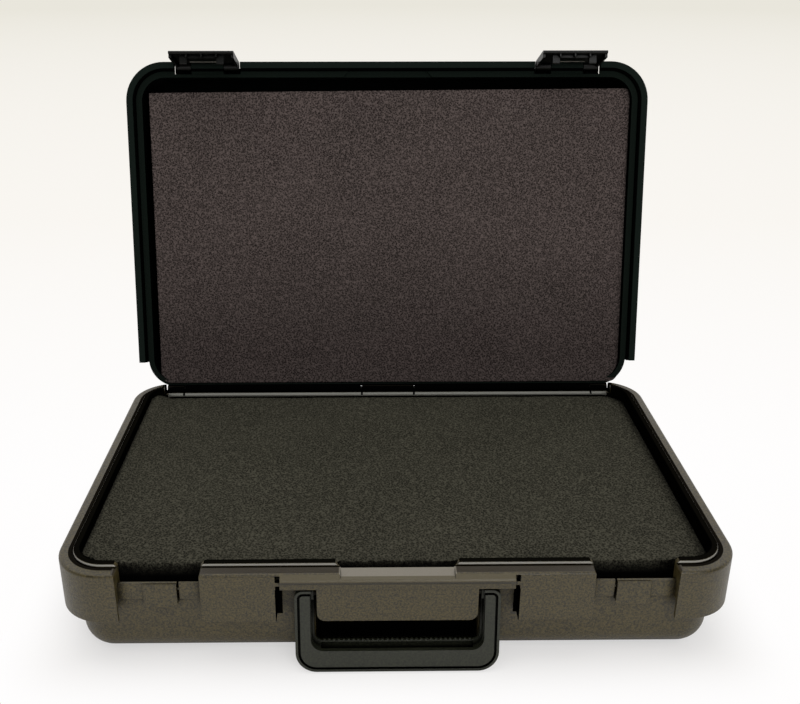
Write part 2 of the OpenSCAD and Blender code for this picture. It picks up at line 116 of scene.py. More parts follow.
def new_material(name):
    """An empty material with its shader, ready for its recipe."""
    material = bpy.data.materials.new(name)
    material.use_nodes = True
    tree = material.node_tree
    tree.nodes.clear()
    shader = add(tree, "ShaderNodeBsdfPrincipled")
    add(tree, "ShaderNodeOutputMaterial", {"Surface": shader.outputs["BSDF"]})
    return material, tree, shader


print("plain mid grey as linear light:", round(linear("#808080")[0], 3))

# %% [markdown]
# ## Places on the case
#
# Painted highlights and shade, hollows painted black as shade and the painted lines of the
# rim belong to places on the case. They could be painted on an image, but that needs an
# unwrapped mesh and blurs up close. Here each place is a box, or a band at some distance
# from the edge of the case, and a few nodes work out whether a point lies in it.

# %% Masks
EDGE_FADE = 0.15


def box_distance(tree, place, half_size):
    """Distance from a box round the origin, 0 inside it."""
    far = add(tree, "ShaderNodeVectorMath", {0: place}, operation="ABSOLUTE")
    far = add(tree, "ShaderNodeVectorMath", {0: far.outputs[0], 1: half_size},
              operation="SUBTRACT")
    far = add(tree, "ShaderNodeVectorMath", {0: far.outputs[0], 1: (0, 0, 0)},
              operation="MAXIMUM")
    far = add(tree, "ShaderNodeVectorMath", {0: far.outputs[0]}, operation="LENGTH")
    return far.outputs["Value"]


def box_mask(tree, place, middle_mm, half_size_mm):
    """1 inside a box and 0 outside it. The edge fades over a part of the box's least size."""
    from_middle = add(tree, "ShaderNodeVectorMath", {0: place, 1: Vector(middle_mm) * MM},
                      operation="SUBTRACT")
    far = box_distance(tree, from_middle.outputs[0], Vector(half_size_mm) * MM)
    fade_to = EDGE_FADE * min(half_size_mm) * MM
    mask = add(tree, "ShaderNodeMapRange", {"Value": far, "From Min": 0.0, "From Max": fade_to,
                                            "To Min": 1.0, "To Max": 0.0})
    return mask.outputs[0]


def rim_distance(tree, place, half_size, corner_r):
    """Distance from the outside of a rectangle with round corners, less than 0 inside it."""
    flat = add(tree, "ShaderNodeVectorMath", {0: place, 1: (1, 1, 0)}, operation="MULTIPLY")
    core = (half_size[0] - corner_r, half_size[1] - corner_r, 0)
    far = box_distance(tree, flat.outputs[0], core)
    return add(tree, "ShaderNodeMath", {0: far, 1: corner_r}, operation="SUBTRACT").outputs[0]


def spare(tree, amount, mask):
    """An amount, a number or a socket, that is taken away where a mask is 1."""
    rest = add(tree, "ShaderNodeMath", {0: 1.0, 1: mask}, operation="SUBTRACT")
    kept = add(tree, "ShaderNodeMath", {0: amount, 1: rest.outputs[0]}, operation="MULTIPLY")
    return kept.outputs[0]


print("a box fades over", EDGE_FADE, "of its least half size")

# %% [markdown]
# ## Table and light
#
# The case stands on a white table in a bright, plain room. A curved sheet of paper could
# stand behind it, but a large flat floor is simpler and suits every view. It takes the soft
# shadow and turns to plain white around it. Far behind the case it fades to a warm pale
# grey, and the world has the same grey where it is seen, so there is no horizon. Two broad
# lamps stand for the soft boxes: one over the case, which lights the rims that face up,
# and one in front of it, which lights the skirt and the handle.

# %% Floor
FLOOR_SIZE = 30.0
FLOOR_DROP_MM = 0.4

floor_mesh = bpy.data.meshes.new("floor")
half = FLOOR_SIZE / 2
floor_mesh.from_pydata([(-half, -half, 0), (half, -half, 0), (half, half, 0), (-half, half, 0)],
                       [], [(0, 1, 2, 3)])
floor = bpy.data.objects.new("floor", floor_mesh)
floor.location.z = -FLOOR_DROP_MM * MM
bpy.context.scene.collection.objects.link(floor)
print("floor:", FLOOR_SIZE, "m wide")

# %% White table
PAN_HALF = (0.2, 0.125, 0.0)
SHADOW_REACH = 0.055
WARM_FROM, WARM_TO = 0.1, 0.9
PALE_GREY_AT = 6.0

material, tree, shader = new_material("white_table")
shader.inputs["Base Color"].default_value = linear("#f6f4f1")
shader.inputs["Roughness"].default_value = 0.6
shader.inputs["Specular IOR Level"].default_value = 0.2
# the camera sees the table half plain white beside the case, and all white past its shadow
place = add(tree, "ShaderNodeTexCoord").outputs["Object"]
away = box_distance(tree, place, PAN_HALF)
fade = add(tree, "ShaderNodeMapRange", {"Value": away, "From Min": 0.0,
                                        "From Max": SHADOW_REACH, "To Min": 0.5,
                                        "To Max": 1.0}, interpolation_type="SMOOTHSTEP")
path = add(tree, "ShaderNodeLightPath")
amount = add(tree, "ShaderNodeMath", {0: fade.outputs[0], 1: path.outputs["Is Camera Ray"]},
             operation="MULTIPLY")
# behind the case the white turns a little warmer, and far away from it a pale grey
back = add(tree, "ShaderNodeSeparateXYZ", {"Vector": place}).outputs["Y"]
back = add(tree, "ShaderNodeMapRange", {"Value": back, "From Min": WARM_FROM,
                                        "From Max": WARM_TO})
paper = add(tree, "ShaderNodeMix", {0: back.outputs[0], 6: linear("#fffefe"),
                                    7: linear("#fcf9f5")}, data_type="RGBA")
distant = add(tree, "ShaderNodeMath", {0: away, 1: PALE_GREY_AT}, operation="DIVIDE",
              use_clamp=True)
paper = add(tree, "ShaderNodeMix", {0: distant.outputs[0], 6: paper.outputs[2],
                                    7: linear("#e9e6dc")}, data_type="RGBA")
white = add(tree, "ShaderNodeEmission", {"Color": paper.outputs[2], "Strength": 1.0})
mix = add(tree, "ShaderNodeMixShader", {0: amount.outputs[0], 1: shader.outputs[0],
                                        2: white.outputs[0]})
surface = shader.outputs["BSDF"].links[0].to_socket
tree.links.new(mix.outputs[0], surface)
floor.data.materials.append(material)
print("the shadow reaches", SHADOW_REACH, "m from the pan")

# %% World
WORLD_LIGHT = 0.62
ROOM_BEFORE_CASE = 0.03
ROOM_FROM, ROOM_TO = -0.35, 0.3

world = bpy.data.worlds.new("studio")
world.use_nodes = True
bpy.context.scene.world = world
tree = world.node_tree
tree.nodes.clear()
path = add(tree, "ShaderNodeLightPath")
soft = add(tree, "ShaderNodeBackground", {"Color": linear("#ffffff"), "Strength": WORLD_LIGHT})
seen = add(tree, "ShaderNodeBackground", {"Color": linear("#e9e6dc"), "Strength": 1.0})
# mirrored light: white wall behind the case, dim room in front of it
way = add(tree, "ShaderNodeTexCoord").outputs["Generated"]
depth = add(tree, "ShaderNodeSeparateXYZ", {"Vector": way}).outputs["Y"]
room = add(tree, "ShaderNodeMapRange", {"Value": depth, "From Min": ROOM_FROM,
                                        "From Max": ROOM_TO, "To Min": ROOM_BEFORE_CASE,
                                        "To Max": 1.0})
mirrored = add(tree, "ShaderNodeBackground", {"Color": linear("#fcfaf8"),
                                              "Strength": room.outputs[0]})
glossy = add(tree, "ShaderNodeMath", {0: path.outputs["Is Glossy Ray"],
                                      1: path.outputs["Is Transmission Ray"]},
             operation="MAXIMUM")
mix = add(tree, "ShaderNodeMixShader", {0: glossy.outputs[0], 1: soft.outputs[0],
                                        2: mirrored.outputs[0]})
mix = add(tree, "ShaderNodeMixShader", {0: path.outputs["Is Camera Ray"], 1: mix.outputs[0],
                                        2: seen.outputs[0]})
add(tree, "ShaderNodeOutputWorld", {"Surface": mix.outputs[0]})
print("world light:", WORLD_LIGHT)


# %% Lamps
def soft_box(name, place, aim, size, watts):
    """A square area lamp that faces a point."""
    lamp = bpy.data.lights.new(name, "AREA")
    lamp.shape = "SQUARE"
    lamp.size = size
    lamp.energy = watts
    made = bpy.data.objects.new(name, lamp)
    bpy.context.scene.collection.objects.link(made)
    made.location = place
    made.rotation_mode = "QUATERNION"
    made.rotation_quaternion = (Vector(aim) - Vector(place)).to_track_quat("-Z", "Y")
    print(name, "gives", watts, "W")


soft_box("top_box", place=(-0.2, -0.1, 1.6), aim=(0, 0, 0.05), size=1.4, watts=7)
soft_box("front_box", place=(0.4, -1.5, 1.0), aim=(0, 0, 0.1), size=1.0, watts=12)

# %% [markdown]
# ## Moulded plastic
#
# The shells are black ABS, moulded in a tool with a fine spark-eroded grain. The grain
# breaks up every highlight, so the plastic looks dark grey and nearly dull, with soft
# light along the edges. A picture of the grain could be wrapped round the shell, but noise
# in three dimensions has no seams. The real grain is about 0.3 mm across, too fine for the
# render, so it is drawn at 1.2 mm. A second, larger noise makes the cloudy wear.

# %% Faces inside a shell
TURNED_IN, TURNED_OUT = 0.04, 0.16


def outside_faces(tree, place, mouth):
    """1 on faces that look away from a point in the mouth of a shell, 0 on the others."""
    out = add(tree, "ShaderNodeVectorMath", {0: place, 1: mouth}, operation="SUBTRACT")
    out = add(tree, "ShaderNodeVectorMath", {0: out.outputs[0]}, operation="NORMALIZE")
    faces = add(tree, "ShaderNodeTexCoord").outputs["Normal"]
    outward = add(tree, "ShaderNodeVectorMath", {0: faces, 1: out.outputs[0]},
                  operation="DOT_PRODUCT")
    return add(tree, "ShaderNodeMapRange", {"Value": outward.outputs["Value"],
                                            "From Min": TURNED_IN,
                                            "From Max": TURNED_OUT}).outputs[0]


# %% Bands along the rim
CASE_CORNER = 0.031
hinge = next(j for j in frame["record"]["behaviour"]["joints"] if j["name"] == "lid_hinge")
HINGE_LINE = hinge["pos_m"]
LID_OPENED = math.radians(abs(hinge["range_deg"][0]))


def paint_rim(tree, place, opened, bands, plain, shade, lit):
    """Paints shade and highlights in the bands where plain is 1 and takes off their shine: a new
    shade and light.

    opened is the angle by which the shell is turned about the hinge from the closed case,
    where the bands have their places.
    """
    shut = add(tree, "ShaderNodeVectorRotate", {"Vector": place, "Center": HINGE_LINE,
                                                "Angle": opened}, rotation_type="X_AXIS")
    inward = rim_distance(tree, shut.outputs[0], CASE_HALF, CASE_CORNER)
    height = add(tree, "ShaderNodeSeparateXYZ", {"Vector": shut.outputs[0]}).outputs["Z"]
    for middle, half_width, level, half_height, band_colour in bands:
        across = add(tree, "ShaderNodeMath", {0: inward, 1: middle * MM, 2: half_width * MM},
                     operation="COMPARE")
        upright = add(tree, "ShaderNodeMath", {0: height, 1: level * MM, 2: half_height * MM},
                      operation="COMPARE")
        here = add(tree, "ShaderNodeMath", {0: across.outputs[0], 1: upright.outputs[0]},
                   operation="MULTIPLY")
        here = add(tree, "ShaderNodeMath", {0: here.outputs[0], 1: plain}, operation="MULTIPLY")
        shade = add(tree, "ShaderNodeMix", {0: here.outputs[0], 6: shade,
                                            7: linear(band_colour)}, data_type="RGBA").outputs[2]
        lit = spare(tree, lit, here.outputs[0])
    return shade, lit


print("the lid is open by", round(math.degrees(LID_OPENED), 1), "degrees")

# %% Plastic material
GRAIN_MM = 1.2
CLOUD_MM = 45
CREVICE_MM = 10
EDGE_MM = 0.35
PAINTED_SHADE_COLOUR = "#020202"


def moulded_plastic(name, colour, worn_colour, roughness, shine, depth_mm, painted_light_places=(),
                    painted_shade_hollows=(), painted_rim_bands=(), inside=None, opened=0.0):
    """Black ABS with spark-eroded grain, soft edges, cloudy wear and painted shade in crevices.

    painted_light_places hold the middle, the half size and the colour of a box where light or
    shade is painted on the plastic, and painted_shade_hollows the middle and half size of a deep
    hollow that is painted black as shade. painted_rim_bands hold middle and half width of a band
    along the rim,
    the same for its height, and a colour: the bands paint shade and highlights. All of them
    are in mm. inside holds a point in the mouth of the shell, and the colour and shine of the
    faces that look towards it: painted shade, darker and duller. opened is the angle by which
    the shell stands open.
    """
    material, tree, shader = new_material(name)
    place = add(tree, "ShaderNodeTexCoord").outputs["Object"]
    cloud = add(tree, "ShaderNodeTexNoise", {"Vector": place, "Scale": 1 / (CLOUD_MM * MM),
                                             "Detail": 4, "Roughness": 0.6})
    grain = add(tree, "ShaderNodeTexNoise", {"Vector": place, "Scale": 1 / (GRAIN_MM * MM),
                                             "Detail": 3, "Roughness": 0.65})
    spread = add(tree, "ShaderNodeMapRange", {"Value": grain.outputs["Fac"], "From Min": 0.36,
                                              "From Max": 0.64})
    both = add(tree, "ShaderNodeMix", {0: 0.75, 2: cloud.outputs["Fac"], 3: spread.outputs[0]},
               data_type="FLOAT")
    tone = add(tree, "ShaderNodeMix", {0: both.outputs[0], 6: linear(colour),
                                       7: linear(worn_colour)}, data_type="RGBA").outputs[2]
    # faces turned into the shell get painted shade: a darker colour and less shine
    if inside:
        mouth, inner_shade_colour, inner_shine = inside
        outside = outside_faces(tree, place, mouth)
        tone = add(tree, "ShaderNodeMix", {0: outside, 6: linear(inner_shade_colour), 7: tone},
                   data_type="RGBA").outputs[2]
        shine = add(tree, "ShaderNodeMapRange", {"Value": outside, "To Min": inner_shine,
                                                 "To Max": shine}).outputs[0]
    plain = 1.0
    # painted highlights, shade and reflections, each in a box
    for middle, half_size, mark_colour in painted_light_places:
        mark = box_mask(tree, place, middle, half_size)
        tone = add(tree, "ShaderNodeMix", {0: mark, 6: tone, 7: linear(mark_colour)},
                   data_type="RGBA").outputs[2]
        plain = spare(tree, plain, mark)
    # narrow gaps lose light, so shade is painted there: they go darker and stop shining
    open_air = add(tree, "ShaderNodeAmbientOcclusion", {"Distance": CREVICE_MM * MM}, samples=6)
    lit = add(tree, "ShaderNodeMapRange", {"Value": open_air.outputs["AO"], "From Min": 0.42,
                                           "From Max": 0.8}).outputs[0]
    # hollows painted black as deep shade, with no shine
    for middle, half_size in painted_shade_hollows:
        lit = spare(tree, lit, box_mask(tree, place, middle, half_size))
    shade = add(tree, "ShaderNodeMix", {0: lit, 6: linear(PAINTED_SHADE_COLOUR), 7: tone},
                data_type="RGBA").outputs[2]
    if painted_rim_bands:
        shade, lit = paint_rim(tree, place, opened, painted_rim_bands, plain, shade, lit)
    tree.links.new(shade, shader.inputs["Base Color"])
    gloss = add(tree, "ShaderNodeMath", {0: lit, 1: shine}, operation="MULTIPLY")
    tree.links.new(gloss.outputs[0], shader.inputs["Specular IOR Level"])
    rough = add(tree, "ShaderNodeMapRange", {"Value": cloud.outputs["Fac"],
                                             "To Min": roughness - 0.05,
                                             "To Max": roughness + 0.07})
    tree.links.new(rough.outputs[0], shader.inputs["Roughness"])
    # the mould leaves every edge a little round, and the round edge catches the light
    edge = add(tree, "ShaderNodeBevel", {"Radius": EDGE_MM * MM}, samples=4)
    bump = add(tree, "ShaderNodeBump", {"Height": grain.outputs["Fac"], "Strength": 0.7,
                                        "Distance": depth_mm * MM, "Normal": edge.outputs[0]})
    tree.links.new(bump.outputs[0], shader.inputs["Normal"])
    print(name, "has", len(tree.nodes), "nodes")
    return material


# %% [markdown]
# ## Base shell
#
# Hands and the table rub the skirt of the base, so its black has turned olive grey in
# places. Shade is painted on the front ledge, in the groove beside the bead, on the top of
# the bead and on the wall of the pan. Highlights are painted on the outside of the bead, on
# the finger notch, on the lip in front of the hinge and on the top of the hood over the
# handle, with a painted shade line under it. The hinge, the pocket behind the handle and
# the slots beside it are painted black as deep shade.

# %% Base plastic
# boxes in mm: middle, half size, colour. Painted shade on the front ledge and in a line
# under the hood, painted highlights on the finger notch, the lip in front of the hinge and
# the top of the hood
FRONT_LEDGE_SHADE = ((0, -132.3, 68.0), (172, 2.9, 0.8), "#261f10")
FINGER_NOTCH_HIGHLIGHT = ((0, -133.5, 67.5), (35, 4, 4), "#6f695d")
BACK_LIP_HIGHLIGHT = ((0, 121.8, 62.9), (185, 3.4, 1.8), "#66655e")
HOOD_TOP_HIGHLIGHT = ((0, -138.6, 66.4), (70.8, 2.2, 2), "#484029")
HOOD_SHADE_LINE = ((0, -138.6, 62.6), (70.8, 2.2, 1.2), "#262113")
# hollows in mm, painted black as deep shade: middle, half size
HINGE_VALLEY = ((0, 130.2, 72), (190, 4.2, 17))
FINGER_POCKET = ((0, -118.5, 25), (50, 7, 14))
SLOT_LEFT = ((-72.4, -131.8, 44.5), (1.6, 5.6, 12.5))
SLOT_RIGHT = ((73.1, -131.8, 44.5), (1.0, 5.6, 12.5))
# bands in mm: middle and half width from the edge of the case, middle and half height, colour.
# Painted shade in the groove, on the top of the bead and on the pan wall, and a painted
# highlight on the outside of the bead
RIM_GROOVE_SHADE = (-7.3, 1.5, 68.0, 0.6, "#14120e")
BEAD_OUTSIDE_HIGHLIGHT = (-9.0, 0.3, 69.1, 0.6, "#94918a")
BEAD_TOP_SHADE = (-11.3, 1.95, 70.3, 0.7, "#0b0a07")
PAN_WALL_SHADE = (-13.1, 0.4, 55.0, 15.3, "#030302")

base_plastic = moulded_plastic(
    "grained_black_abs", "#0a0702", "#4e4424", roughness=0.36, shine=0.52, depth_mm=0.4,
    painted_light_places=[FRONT_LEDGE_SHADE, FINGER_NOTCH_HIGHLIGHT, BACK_LIP_HIGHLIGHT, HOOD_TOP_HIGHLIGHT, HOOD_SHADE_LINE],
    painted_shade_hollows=[HINGE_VALLEY, FINGER_POCKET, SLOT_LEFT, SLOT_RIGHT],
    painted_rim_bands=[RIM_GROOVE_SHADE, BEAD_OUTSIDE_HIGHLIGHT, BEAD_TOP_SHADE, PAN_WALL_SHADE])

# %% [markdown]
# ## Lid shell
#
# The outside of the lid is the same grained plastic. Its inside is painted darker and
# duller as shade, with two faint grey lines painted where the stepped rim faces the light,
# painted black shade beside them, and the knuckles painted black as deep shade.

# %% Lid plastic
# the knuckles in the hinge valley are painted black as deep shade
LID_KNUCKLES = ((0, 130, 65.5), (200, 7.5, 8.5))
LID_MOUTH = (0, 0.14, 0.21)
LID_RIM_LEVEL, LID_RIM_HALF = 71.5, 4.5
# middle and half width in mm from the edge of the case, colour: two faint grey lines
# painted where the rim faces the light, and painted black shade beside them
LID_LINES = [(-2.6, 2.35, "#141a17"), (-6.1, 1.1, "#020202"), (-9.6, 2.4, "#101512"),
             (-14.5, 2.5, "#020202")]
LID_BANDS = [(middle, half_width, LID_RIM_LEVEL, LID_RIM_HALF, colour)
             for middle, half_width, colour in LID_LINES]

# the faces inside the lid take the darker, duller colour of painted shade
lid_plastic = moulded_plastic(
    "grained_black_abs_lid", "#090805", "#3e3826", roughness=0.34, shine=0.5, depth_mm=0.4,
    painted_shade_hollows=[LID_KNUCKLES], painted_rim_bands=LID_BANDS, inside=(LID_MOUTH, "#080b0a", 0.1),
    opened=LID_OPENED)

# %% [markdown]
# ## Latches and handle
#
# The latches are black acetal from a polished tool: smooth, nearly without grain, and pure
# black but for a painted reflection of the table on the lip over the hook, a thin pale line.
# The handle is black nylon with a satin finish, a little warmer and paler than the latches.

# %% Latch and handle plastic
LATCH_SIDES_MM = (-145.5, 145.5)
# a painted reflection of the table: a thin pale line on the lip over each hook
PAINTED_LATCH_REFLECTIONS = [((x, 184.0, 327.0), (11.5, 1.0, 0.8), "#858179") for x in LATCH_SIDES_MM]

latch_plastic = moulded_plastic("black_acetal", "#090907", "#11110f", roughness=0.3, shine=0.2,
                                depth_mm=0.05, painted_light_places=PAINTED_LATCH_REFLECTIONS)
handle_plastic = moulded_plastic("satin_black_nylon", "#12140c", "#2b2d21", roughness=0.34,
                                 shine=0.42, depth_mm=0.12)

# %% [markdown]
# ## Steel pins
#
# The hinge rods and the short pins are blackened steel wire. Drawing the wire through a
# die leaves fine scratches along it that stretch each highlight. Noise pulled long in the
# direction of the wire gives them without any mesh. The pins stay dark in their gaps.

# %% Steel material
SCRATCH_MM = 0.4
SCRATCH_DEPTH_MM = 0.05
STRETCH = 20


def drawn_steel(name, colour, roughness):
    """Steel wire with fine scratches along X."""
    material, tree, shader = new_material(name)
    shader.inputs["Base Color"].default_value = linear(colour)
    shader.inputs["Metallic"].default_value = 1.0
    shader.inputs["Roughness"].default_value = roughness
    place = add(tree, "ShaderNodeTexCoord").outputs["Object"]
    long_way = add(tree, "ShaderNodeMapping", {"Vector": place, "Scale": (1 / STRETCH, 1, 1)})
    lines = add(tree, "ShaderNodeTexNoise", {"Vector": long_way.outputs[0],
                                             "Scale": 1 / (SCRATCH_MM * MM), "Detail": 2})
    bump = add(tree, "ShaderNodeBump", {"Height": lines.outputs["Fac"], "Strength": 0.3,
                                        "Distance": SCRATCH_DEPTH_MM * MM})
    tree.links.new(bump.outputs[0], shader.inputs["Normal"])
    print(name, "has scratches", SCRATCH_MM, "mm wide")
    return material


steel = drawn_steel("blackened_steel", "#1c1b19", 0.5)

# %% Give each CAD node its finish
FINISH = {"base_shell": base_plastic, "lid_shell": lid_plastic, "latch_left": latch_plastic,
          "latch_right": latch_plastic, "handle": handle_plastic}

for name, node in nodes.items():
    node.data.materials.clear()
    node.data.materials.append(FINISH.get(name, steel))
print("materials:", len(bpy.data.materials))

# %% [markdown]
# ## Foam
#
# The pads are charcoal polyurethane foam, cut with a blade. The cut opens cells of about
# a millimetre, so the face is a fine speckle of dark pores and pale cell walls with no
# shine at all. Cells could be cut into the mesh, but there are tens of thousands, so noise
# and a bump stand for them, drawn a little coarser at 1.3 mm so that they show. The air
# around the foam matters too: the walls of the shell shade its sides. That shade is painted
# into the colour of the foam, which also goes darker towards the bottom.

# %% Foam material
CELL_MM = 1.3
CELL_DEPTH_MM = 0.5
PATCH_MM = 60
DEEP_MM = 18


def open_cell_foam(name, dark, pale, foot, top, least):
    """Polyurethane foam with cut cells: speckled colour and deep pores.

    Shade is painted on it: it darkens from the height top down to the height foot, where a part
    least is left.
    """
    material, tree, shader = new_material(name)
    place = add(tree, "ShaderNodeTexCoord").outputs["Object"]
    cells = add(tree, "ShaderNodeTexVoronoi", {"Vector": place, "Scale": 1 / (CELL_MM * MM)})
    fine = add(tree, "ShaderNodeTexNoise", {"Vector": place, "Scale": 1 / (CELL_MM * MM),
                                            "Detail": 5, "Roughness": 0.7})
    patch = add(tree, "ShaderNodeTexNoise", {"Vector": place, "Scale": 1 / (PATCH_MM * MM),
                                             "Detail": 3})
    pores = add(tree, "ShaderNodeMix", {0: 0.5, 2: cells.outputs["Distance"],
                                         3: fine.outputs["Fac"]}, data_type="FLOAT")
    tone = add(tree, "ShaderNodeMapRange", {"Value": pores.outputs[0], "From Min": 0.34,
                                            "From Max": 0.66})
    soft_tone = add(tree, "ShaderNodeMix", {0: 0.2, 2: tone.outputs[0],
                                            3: patch.outputs["Fac"]}, data_type="FLOAT")
    colour = add(tree, "ShaderNodeMix", {0: soft_tone.outputs[0], 6: linear(dark),
                                         7: linear(pale)}, data_type="RGBA")
    height = add(tree, "ShaderNodeSeparateXYZ", {"Vector": place}).outputs["Z"]
    dim = add(tree, "ShaderNodeMapRange", {"Value": height, "From Min": foot, "From Max": top,
                                           "To Min": least, "To Max": 1.0})
    open_air = add(tree, "ShaderNodeAmbientOcclusion", {"Distance": DEEP_MM * MM}, samples=6)
    lit = add(tree, "ShaderNodeMapRange", {"Value": open_air.outputs["AO"], "From Min": 0.5,
                                           "From Max": 0.76})
    lit = add(tree, "ShaderNodeMath", {0: lit.outputs[0], 1: dim.outputs[0]},
              operation="MULTIPLY")
    shade = add(tree, "ShaderNodeMix", {0: lit.outputs[0], 6: linear(PAINTED_SHADE_COLOUR),
                                        7: colour.outputs[2]}, data_type="RGBA")
    tree.links.new(shade.outputs[2], shader.inputs["Base Color"])
    bump = add(tree, "ShaderNodeBump", {"Height": pores.outputs[0], "Strength": 0.8,
                                        "Distance": CELL_DEPTH_MM * MM})
    tree.links.new(bump.outputs[0], shader.inputs["Normal"])
    shader.inputs["Roughness"].default_value = 1.0
    shader.inputs["Specular IOR Level"].default_value = 0.05
    print(name, "has cells of", CELL_MM, "mm")
    return material


base_foam_finish = open_cell_foam("charcoal_foam_base", "#090906", "#4c4a3f",
                                  foot=0.050, top=0.0592, least=0.0)
lid_foam_finish = open_cell_foam("charcoal_foam_lid", "#0c0908", "#594f4c",
                                 foot=0.075, top=0.19, least=0.66)

# %% [markdown]
# ## Pads
#
# Each pad starts from the limits of its plain block in the CAD model. A cube with a bevel
# could be cut finer, but its points would lie evenly. So the pad is built as a stack of
# rings: up the sides, over a small cut edge, and in across the face until the last ring
# closes on the middle line. The rings lie close together at the edge, where the shape
# matters, and far apart on the flat face. Noise then moves every point a little, most of
# all along the torn front edge of the base pad.

# %% Foam outline
ARC_STEPS = 14
# along the right side, the back, the left side and the front
SIDE_STEPS = [210, 380, 210, 380]


def rounded_ring(low, high, front_r, back_r, inset):
    """Points round a rectangle with round corners, in the same order for every inset.

    low and high are its corners seen from above, before the inset.
    """
    x0, y0, x1, y1 = low[0] + inset, low[1] + inset, high[0] - inset, high[1] - inset
    arcs = []
    for x, y, right, back, quarter, radius in ((x1, y0, 1, -1, -1, front_r),
                                               (x1, y1, 1, 1, 0, back_r),
                                               (x0, y1, -1, 1, 1, back_r),
                                               (x0, y0, -1, -1, 2, front_r)):
        r = max(radius - inset, 0.0)
        turns = [math.radians(90 * (quarter + k / ARC_STEPS)) for k in range(ARC_STEPS + 1)]
        arcs.append([(x - right * r + r * math.cos(turn), y - back * r + r * math.sin(turn))
                     for turn in turns])
    ring = []
    for corner, steps in enumerate(SIDE_STEPS):
        start, end = arcs[corner][-1], arcs[(corner + 1) % 4][0]
        ring += arcs[corner]
        ring += [(start[0] + (end[0] - start[0]) * k / steps,
                  start[1] + (end[1] - start[1]) * k / steps) for k in range(1, steps)]
    return ring


print("points in one ring:", 4 * (ARC_STEPS + 1) + sum(SIDE_STEPS) - 4)

# %% Side view of a pad
CUT_EDGE_MM = 0.7
FOOT_STEPS, WALL_STEPS, FACE_STEPS = 8, 12, 30
EDGE_TURNS = [math.radians(a) for a in (30, 60, 90)]


def pad_profile(tall, deep, foot_r):
    """Inset and height of every ring, from the round foot up to the middle of the face."""
    edge = CUT_EDGE_MM * MM
    profile = []
    for k in range(FOOT_STEPS + 1):
        turn = math.radians(90 * k / FOOT_STEPS)
        profile.append((foot_r * (1 - math.sin(turn)), foot_r * (1 - math.cos(turn))))
    profile += [(0, foot_r + (tall - edge - foot_r) * k / WALL_STEPS)
                for k in range(1, WALL_STEPS + 1)]
    profile += [(edge * (1 - math.cos(turn)), tall - edge * (1 - math.sin(turn)))
                for turn in EDGE_TURNS]
    profile += [(edge + (deep - edge) * (k / FACE_STEPS) ** 2, tall)
                for k in range(1, FACE_STEPS + 1)]
    return profile


print("rings in one pad:", FOOT_STEPS + 1 + WALL_STEPS + len(EDGE_TURNS) + FACE_STEPS)

# %% Waves and tears
FACE_BAND_MM, FRONT_BAND_MM = 7, 6
WAVE_MM, WAVE_HEIGHT_MM, WAVE_LIMIT_MM = 38, 0.35, 0.15
CHUNK_MM, TEAR_MM, FINE_TEAR_MM = 11, 2.1, 0.9
FINE_SHARE = 0.7
# the fine noise is read at another place, so it doesn't repeat the coarse one
OTHER_PLACE = Vector((9, 9, 9))
# without a seed, noise_vector starts from the clock and tears the edge anew in every run
NOISE_SEED = 4

noise.seed_set(NOISE_SEED)


def roughen(bm, front, tall, fray_mm):
    """Gives the face slow waves and tears the edge between the face and the front."""
    for vert in bm.verts:
        x, y, z = vert.co
        at = Vector((x, y, z)) / MM
        near_face = max(0.0, 1 - (tall - z) / (FACE_BAND_MM * MM))
        near_front = max(0.0, 1 - (y - front) / (FRONT_BAND_MM * MM)) * near_face
        waves = noise.noise(at / WAVE_MM) * WAVE_HEIGHT_MM * MM
        vert.co.z += min(waves, WAVE_LIMIT_MM * MM) * near_face
        torn = (noise.noise_vector(at / TEAR_MM)
                + FINE_SHARE * noise.noise_vector(at / FINE_TEAR_MM + OTHER_PLACE))
        vert.co += torn * fray_mm * MM * near_front ** 0.6
        vert.co.y -= noise.noise(at / CHUNK_MM) * fray_mm * MM * near_front


print("tears are", TEAR_MM, "and", FINE_TEAR_MM, "mm across")


# %% Build one pad
def block_limits(node, closed):
    """Lowest and highest corner of a CAD node after it is turned by a matrix."""
    points = np.array([closed @ v.co for v in node.data.vertices])
    return points.min(axis=0), points.max(axis=0)


def foam_pad(name, low, high, face_up, foot_r, front_r, back_r, fray_mm):
    """A block of foam in the closed frame. Its face is at the top if face_up is true."""
    tall = high[2] - low[2]
    rings = [[(x, y, z) for x, y in rounded_ring(low, high, front_r, back_r, inset)]
             for inset, z in pad_profile(tall, (high[1] - low[1]) / 2, foot_r)]
    count = len(rings[0])
    bm = bmesh.new()
    made = [[bm.verts.new(p) for p in ring] for ring in rings]
    bm.faces.new(list(reversed(made[0])))
    for below, above in zip(made, made[1:]):
        for k in range(count):
            bm.faces.new((below[k], below[(k + 1) % count], above[(k + 1) % count], above[k]))
    bmesh.ops.remove_doubles(bm, verts=bm.verts[:], dist=1e-6)
    roughen(bm, low[1], tall, fray_mm)
    for vert in bm.verts:
        vert.co.z = low[2] + vert.co.z if face_up else high[2] - vert.co.z
    if not face_up:
        bmesh.ops.reverse_faces(bm, faces=bm.faces[:])
    mesh = bpy.data.meshes.new(name)
    bm.to_mesh(mesh)
    bm.free()
    mesh.shade_smooth()
    pad = bpy.data.objects.new(name, mesh)
    bpy.context.scene.collection.objects.link(pad)
    return pad


def finish_pad(pad, node, body, material, opening):
    """Puts a pad in its place in the open case, in its finish and on its body."""
    pad.data.transform(opening)
    pad.data.materials.append(material)
    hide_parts(node)
    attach(pad, body)
    print(pad.name, "has", len(pad.data.vertices), "points")


# %% [markdown]
# ## Base pad
#
# The block in the base was cut a little wider than the pan, so the left wall squeezes its
# edge up. The front was trimmed by hand, which left it ragged.

